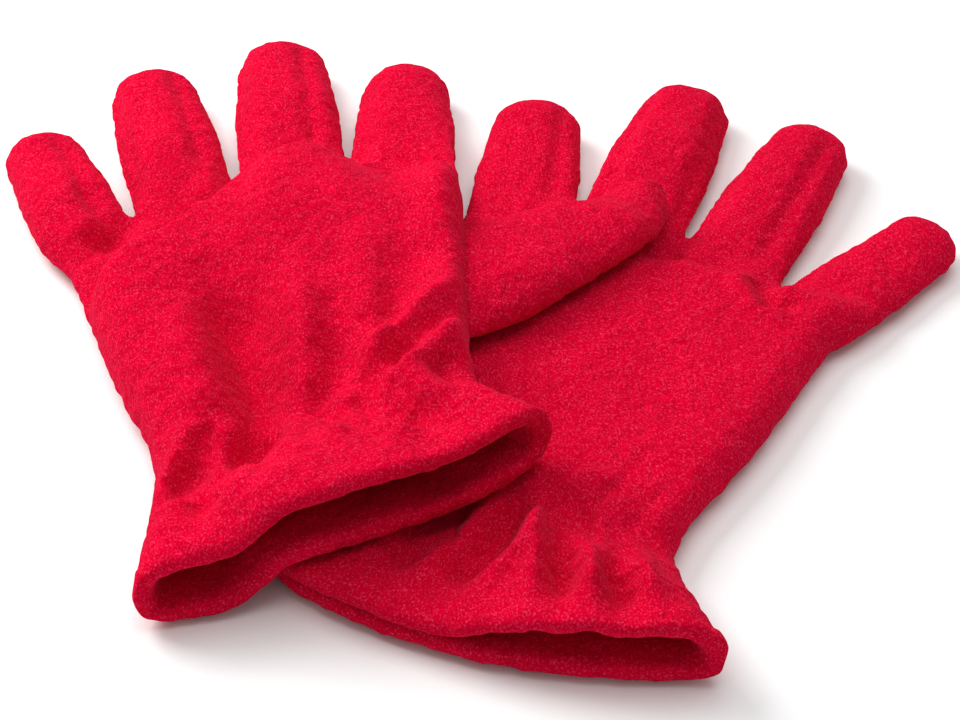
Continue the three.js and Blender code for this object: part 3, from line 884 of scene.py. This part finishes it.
def finished(name, shell):
    """The fine mesh of a glove with its gathers, creases, seams and pile."""
    fine = Fine(shell)
    fine.points[:, 2] += lift(name, fine)
    inner = np.zeros(len(fine.points), bool)
    inner[fine.quads[fine.part > PALM].ravel()] = True
    depth = seam_relief(name, fine) * ~inner
    fine.points += fine.normals() * (pile_relief(fine) - depth)[:, None]
    fine.points[:, 2] = np.maximum(fine.points[:, 2], TABLE_CLEARANCE)
    return fine


# ------ pieces

def make_piece(name, fine, faces, material):
    """One named piece from some of the fine mesh's faces, shaded as the whole mesh is."""
    ids, quads = np.unique(fine.quads[faces], return_inverse=True)
    quads = quads.reshape(-1, 4)
    mesh = bpy.data.meshes.new(name)
    mesh.vertices.add(len(ids))
    mesh.vertices.foreach_set("co", (fine.points[ids] * MM).astype(np.float32).ravel())
    mesh.loops.add(quads.size)
    mesh.loops.foreach_set("vertex_index", quads.ravel().astype(np.int32))
    mesh.polygons.add(len(quads))
    mesh.polygons.foreach_set("loop_start", np.arange(0, quads.size, 4, dtype=np.int32))
    mesh.update(calc_edges=True)
    mesh.shade_smooth()
    mesh.normals_split_custom_set_from_vertices(fine.normals()[ids])
    mesh.materials.append(material)
    piece = bpy.data.objects.new(name, mesh)
    bpy.context.scene.collection.objects.link(piece)
    return piece


BEND_START = 0.5  # just past the crotches, from the joint
FINGER_REACH = 1.25  # a face belongs to a finger up to this many half widths from its middle


def claim(node_name):
    """Hides the CAD node that a piece stands in for."""
    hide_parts(node_name)


def attach_glove(name, fine, material):
    """Cuts the fine mesh into the glove's pieces, and gives the hand's pieces the hand's body."""
    glove, hand = GLOVES[name], f"{name}_hand"
    plan = finger_plan(glove)
    owner = np.full(len(fine.quads), -1)
    outer = fine.part <= PALM
    best = np.full(len(fine.quads), np.inf)
    middle = fine.flat[fine.quads].mean(axis=1)
    corners = fine.points[fine.quads]
    for k, (finger_name, finger) in enumerate(plan.items()):
        joint = f"{name}_{finger_name}_fold"
        along = (corners - joint_place(joint)) @ forward_of(joint)
        across = np.abs((middle - finger["foot"]) @ finger["side"]) / finger["half"]
        mine = outer & (along.max(axis=1) > BEND_START) & (across < FINGER_REACH) & (across < best)
        owner[mine] = k
        best[mine] = across[mine]
    on_back = fine.layer[fine.quads].mean(axis=1) > 0
    hem = fine.part == HEM
    parts = {
        f"{hand}_back": (owner < 0) & on_back & ~hem,
        f"{hand}_palm": (owner < 0) & ~on_back & ~hem,
        f"{name}_cuff_hem": hem,
    }
    for node_name, mask in parts.items():
        piece = make_piece(f"fleece_{node_name}", fine, np.where(mask)[0], material)
        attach(piece, hand)
        claim(node_name)
    for k, (finger_name, finger) in enumerate(plan.items()):
        body = f"{name}_{finger_name}"
        mine = owner == k
        share = (middle - finger["foot"]) @ finger["side"] / finger["half"]
        rest = mine.copy()
        panels = {}
        for side_name, where in STRIP_SEAMS[body].items():
            strip = mine & on_back & ((share > where) if side_name == "thumb" else (share < where))
            panels[f"{body}_fourchette_{side_name}_side"] = strip
            rest &= ~strip
        panels[f"{body}_back"] = rest & on_back
        panels[f"{body}_palm"] = rest & ~on_back
        for node_name, mask in panels.items():
            piece = make_piece(f"fleece_{node_name}", fine, np.where(mask)[0], material)
            claim(node_name)
            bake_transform(piece)


def attach_thumb(name, fine, material):
    """Cuts the thumb into its two panels. The right thumb lies under the left glove and can't bend."""
    hand, body = f"{name}_hand", f"{name}_thumb"
    on_back = fine.layer[fine.quads].mean(axis=1) > 0
    for node_name, mask in ((f"{body}_back", on_back), (f"{body}_palm", ~on_back)):
        piece = make_piece(f"fleece_{node_name}", fine, np.where(mask)[0], material)
        claim(node_name)
        if body in frame["bodies"]:
            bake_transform(piece)
        else:
            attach(piece, hand)


# ------ materials

class Shader:
    """A material's node tree, with one method for each kind of node that the fabrics use."""

    def __init__(self, name, stretch=(1, 1, 1)):
        self.material = bpy.data.materials.new(name)
        self.material.use_nodes = True
        self.tree = self.material.node_tree
        self.tree.nodes.clear()
        spot = self.node("TexCoord").outputs["Object"]
        self.spot = self.node("Mapping", {"Vector": spot, "Scale": stretch}).outputs["Vector"]

    def node(self, kind, inputs=None, **settings):
        made = self.tree.nodes.new(f"ShaderNode{kind}")
        for key, value in settings.items():
            setattr(made, key, value)
        for key, value in (inputs or {}).items():
            if isinstance(value, bpy.types.NodeSocket):
                self.tree.links.new(value, made.inputs[key])
            elif value is not None:
                made.inputs[key].default_value = value
        return made

    def noise(self, scale, detail, roughness=0.5):
        inputs = {"Vector": self.spot, "Scale": scale, "Detail": detail, "Roughness": roughness}
        return self.node("TexNoise", inputs).outputs["Fac"]

    def spread(self, value, low, high, to_low=0.0, to_high=1.0):
        inputs = {"Value": value, "From Min": low, "From Max": high, "To Min": to_low, "To Max": to_high}
        return self.node("MapRange", inputs).outputs["Result"]

    def mix(self, factor, a, b):
        return self.node("Mix", {"Factor": factor, "A": a, "B": b}, data_type="RGBA").outputs["Result"]

    def bump(self, height, strength, distance, normal=None):
        inputs = {"Height": height, "Strength": strength, "Distance": distance, "Normal": normal}
        return self.node("Bump", inputs).outputs["Normal"]

    def finish(self, inputs):
        surface = self.node("BsdfPrincipled", inputs).outputs["BSDF"]
        self.node("OutputMaterial", {"Surface": surface})
        return self.material


NAP = (1.0, 0.72, 1.0)  # the pile's clumps are longer along the gloves than across them
SHEEN = (1.0, 0.14, 0.28, 1)


def fleece_material(name, base, light, dark):
    """Raised pile: mottled colour, clumps and fibres in the bump, and a soft sheen."""
    shader = Shader(name, NAP)
    cloud = shader.noise(60.0, 3.0)
    clump = shader.noise(520.0, 4.0, 0.65)
    fibre = shader.noise(2100.0, 3.0, 0.7)
    curls = shader.node("TexVoronoi", {"Vector": shader.spot, "Scale": 700.0}).outputs["Distance"]
    mottled = shader.mix(shader.spread(clump, 0.22, 0.6), dark, base)
    flecked = shader.mix(shader.spread(fibre, 0.52, 0.72), mottled, light)
    brightness = shader.spread(cloud, 0.3, 0.7, 0.9, 1.06)
    colour = shader.node("HueSaturation", {"Color": flecked, "Value": brightness}).outputs["Color"]
    relief = shader.bump(clump, 0.48, 0.001)
    relief = shader.bump(curls, 0.35, 0.0006, relief)
    relief = shader.bump(fibre, 0.45, 0.0004, relief)
    return shader.finish({
        "Base Color": colour, "Normal": relief, "Roughness": 0.95, "Specular IOR Level": 0.0,
        "Sheen Weight": 0.2, "Sheen Roughness": 0.3, "Sheen Tint": SHEEN,
    })


def elastic_material():
    """Pale ribbed elastic, its ribs running round the wrist."""
    shader = Shader("ribbed_elastic")
    wave = {"Vector": shader.spot, "Scale": 420.0, "Distortion": 0.6}
    ribs = shader.node("TexWave", wave).outputs["Fac"]
    tone = shader.mix(ribs, (0.5, 0.42, 0.43, 1), (0.74, 0.68, 0.68, 1))
    relief = shader.bump(ribs, 0.6, 0.0004)
    return shader.finish({"Base Color": tone, "Roughness": 0.7, "Normal": relief})


BAND_START, BAND_END = -8.0, 0.0  # along the glove
BAND_OUTSIDE, BAND_INSIDE = 1.6, 2.3  # between the outer cloth and the lining
BAND_REACH = 0.97  # half width of its flat sides, as a share of the glove's
BAND_COLUMNS = 65
BAND_CLEARANCE = 0.6


def elastic_piece(name, ground, material):
    """A closed band inside the wrist."""
    glove = GLOVES[name]
    shares_back = np.linspace(BAND_REACH, -BAND_REACH, BAND_COLUMNS)
    shares = np.concatenate([[1.0], shares_back, [-1.0], shares_back[::-1]])
    on_top = np.arange(len(shares)) < len(shares_back) + 1
    shell = Shell()
    rings = []
    edges = (
        (BAND_START, BAND_OUTSIDE), (BAND_START, BAND_INSIDE),
        (BAND_END, BAND_INSIDE), (BAND_END, BAND_OUTSIDE),
    )
    for v, inset in edges:
        points, flat, full = cross_section(glove, ground, shares, on_top, v, inset)
        rings.append(shell.add(points, flat, full, np.where(on_top, 1.0, -1.0)))
    for a, b in zip(rings, rings[1:] + rings[:1]):
        for k in range(len(shares)):
            m = (k + 1) % len(shares)
            quad = (a[k], a[m], b[m], b[k])
            shell.face(quad if glove["side"] > 0 else quad[::-1], BACK)
    fine = Fine(shell)
    fine.points[:, 2] += lift(name, fine)
    fine.points[:, 2] = np.maximum(fine.points[:, 2], BAND_CLEARANCE)
    piece = make_piece(f"elastic_{name}_wrist", fine, np.arange(len(fine.quads)), material)
    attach(piece, f"{name}_hand")
    claim(f"{name}_wrist_elastic")


# ------ the pair

REDS = {"left": (0.63, 0.0005, 0.026, 1), "right": (0.61, 0.0005, 0.025, 1)}
PINK = (0.82, 0.043, 0.115, 1)
WINE = (0.48, 0.0003, 0.017, 1)


def lay_glove(name, ground, elastic):
    """Makes every piece of one glove on the ground given, and returns the points of its cloth."""
    glove = GLOVES[name]
    fleece = fleece_material(f"red_fleece_{name}", REDS[name], PINK, WINE)
    hand = finished(name, glove_shell(glove, ground))
    thumb = Fine(thumb_shell(glove, ground))
    thumb.points += thumb.normals() * pile_relief(thumb)[:, None]
    attach_glove(name, hand, fleece)
    attach_thumb(name, thumb, fleece)
    elastic_piece(name, ground, elastic)
    return np.concatenate([hand.points, thumb.points])


low, high = (np.array(corner) / MM for corner in cad_bounds)
table, bed = (Ground(low[:2] - GRID_MARGIN, high[:2] + GRID_MARGIN) for _ in range(2))
elastic_cloth = elastic_material()
bed.add(lay_glove("right", table, elastic_cloth))
bed.drape()
lay_glove("left", bed, elastic_cloth)


# ------ stage, light and camera

FLOOR_LEVEL = -0.0002  # metres, like everything below
FLOOR_GREY = 0.93
WORLD_STRENGTH = 0.39
KEY = dict(place_at=(-0.62, 0.4, 0.6), size=0.6, power=9.3)
ABOVE = dict(place_at=(0.1, 0.1, 1.1), size=1.0, power=6.2)
CAMERA_RISE = math.radians(37)
CAMERA_DISTANCE = 0.5276
TARGET_HEIGHT = 0.00815
TARGET = Vector((SHIFT[0] * MM, SHIFT[1] * MM, TARGET_HEIGHT))
LENS = 82.5  # millimetres, on a sensor 36 wide

scene = bpy.context.scene
bpy.ops.mesh.primitive_plane_add(size=4, location=(0, 0, FLOOR_LEVEL))
floor = bpy.context.object
floor.name = "floor"
floor_material = bpy.data.materials.new("pale_floor")
floor_material.use_nodes = True
floor_shader = floor_material.node_tree.nodes["Principled BSDF"]
floor_shader.inputs["Base Color"].default_value = (FLOOR_GREY,) * 3 + (1,)
floor_shader.inputs["Roughness"].default_value = 0.8
floor.data.materials.append(floor_material)

world = bpy.data.worlds.new("studio")
scene.world = world
world.use_nodes = True
background = world.node_tree.nodes["Background"].inputs
background["Color"].default_value = (1, 1, 1, 1)
background["Strength"].default_value = WORLD_STRENGTH


def soft_light(name, place_at, size, power):
    """A square light that shines at the middle of the floor."""
    data = bpy.data.lights.new(name, "AREA")
    data.size, data.energy = size, power
    lamp = bpy.data.objects.new(name, data)
    lamp.location = place_at
    lamp.rotation_euler = (-Vector(place_at)).to_track_quat("-Z", "Y").to_euler()
    scene.collection.objects.link(lamp)


soft_light("key", **KEY)
soft_light("above", **ABOVE)

camera_data = bpy.data.cameras.new("camera")
camera_data.lens, camera_data.sensor_width = LENS, 36
camera = bpy.data.objects.new("camera", camera_data)
backwards = Vector((0, -math.cos(CAMERA_RISE), math.sin(CAMERA_RISE)))
camera.location = TARGET + CAMERA_DISTANCE * backwards
camera.rotation_euler = (TARGET - camera.location).to_track_quat("-Z", "Y").to_euler()
camera_data.clip_start = 0.01
scene.collection.objects.link(camera)
scene.camera = camera
scene.view_settings.view_transform = "Standard"
